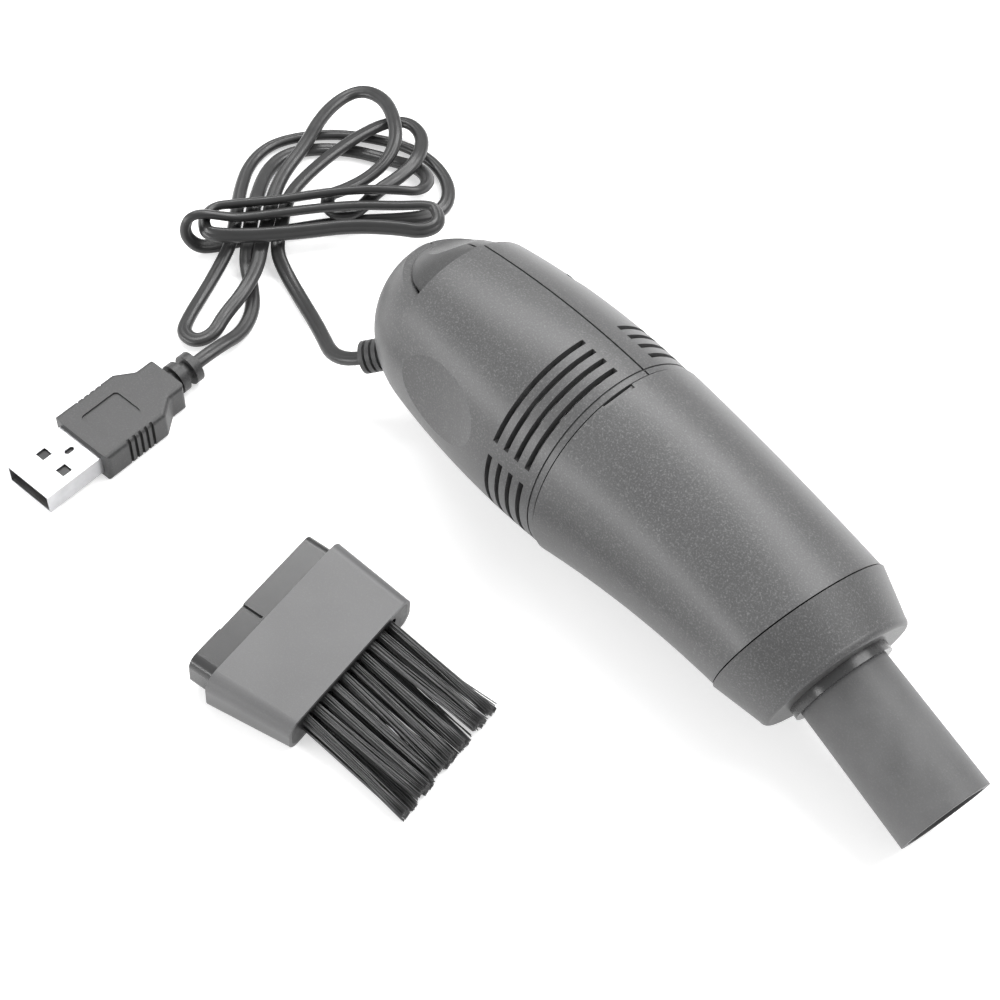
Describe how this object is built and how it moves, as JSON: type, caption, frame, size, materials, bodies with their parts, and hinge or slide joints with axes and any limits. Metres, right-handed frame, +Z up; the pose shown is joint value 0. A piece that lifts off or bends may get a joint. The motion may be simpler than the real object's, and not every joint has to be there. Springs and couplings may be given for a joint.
{
  "type": "desktop mini vacuum cleaner",
  "caption": "Small corded vacuum cleaner for desks and keyboards, with a round nozzle, thumb rocker, vented housing, plug-in lead in a hank and a separate oval brush head.",
  "frame": {"origin": "on the desk, under the middle of the box round the vacuum and the brush head", "axes": "+X along the vacuum from the round tail to the nozzle, +Z up from the desk; the vacuum lies leaning 16 degrees to +Y as pictured, and the brush, lead and plug lie on its -Y and -X sides"},
  "size_m": [0.2216, 0.1263, 0.0435],
  "materials": {
    "shell": "fine spark-textured ABS, satin",
    "cup": "fine spark-textured ABS, satin",
    "nose": "fine spark-textured ABS, satin",
    "rocker": "smoother ABS",
    "steel": "zinc-plated steel",
    "can": "drawn steel can",
    "inner": "plain moulded plastic",
    "fan": "plain moulded nylon",
    "cloth": "non-woven filter cloth",
    "rubber": "soft matt rubber",
    "relief": "flexible moulded sleeve",
    "plug_metal": "folded nickel-plated sheet",
    "tongue": "moulded insulator",
    "gold": "gold-plated strips",
    "plug_plastic": "flexible moulded PVC",
    "cord": "semi-gloss PVC sheath",
    "brush_plastic": "fine spark-textured ABS",
    "bristle": "nylon bristle"
  },
  "bodies": {
    "housing": {"housing_left": "shell", "housing_right": "shell", "housing_screws": "steel", "rocker_pin": "steel", "switch_body": "inner", "motor_can": "can", "motor_end_cap": "inner", "motor_mount_plate": "inner", "inlet_plate": "inner", "seal_ring": "rubber", "strain_relief": "relief", "cord_lead": "cord", "cord_hank": "cord", "plug_relief": "plug_plastic", "plug_grip": "plug_plastic", "usb_shell": "plug_metal", "usb_tongue": "tongue", "usb_contacts": "gold"},
    "rocker": {"rocker_cap": "rocker"},
    "fan": {"motor_shaft": "steel", "impeller": "fan"},
    "filter": {"filter_frame": "inner", "filter_cloth": "cloth"},
    "cup": {"dust_cup": "cup"},
    "nozzle": {"nose_cap": "nose", "nozzle_collar": "nose", "nozzle_tube": "rubber"},
    "brush": {"brush_shoulder": "brush_plastic", "brush_block": "inner", "brush_tufts": "bristle"}
  },
  "joints": [
    {"name": "rocker_press", "type": "hinge", "parent": "housing", "child": "rocker", "pos_m": [-0.06538, 0.03406, 0.03041], "axis": [0, 0.9613, -0.2756], "range_deg": [0, 5]},
    {"name": "fan_spin", "type": "hinge", "parent": "housing", "child": "fan", "pos_m": [-0.02538, 0.03158, 0.02176], "axis": [1, 0, 0], "continuous": true},
    {"name": "filter_pull", "type": "slide", "parent": "housing", "child": "filter", "axis": [1, 0, 0], "range_m": [0, 0.004]},
    {"name": "cup_pull", "type": "slide", "parent": "housing", "child": "cup", "axis": [1, 0, 0], "range_m": [0, 0.04]},
    {"name": "nozzle_pull", "type": "slide", "parent": "cup", "child": "nozzle", "axis": [0.9659, -0.0713, -0.2488], "range_m": [0, 0.007]},
    {"name": "brush_lift", "type": "slide", "parent": "housing", "child": "brush", "axis": [0, 0, 1], "range_m": [0, 0.03]}
  ]
}
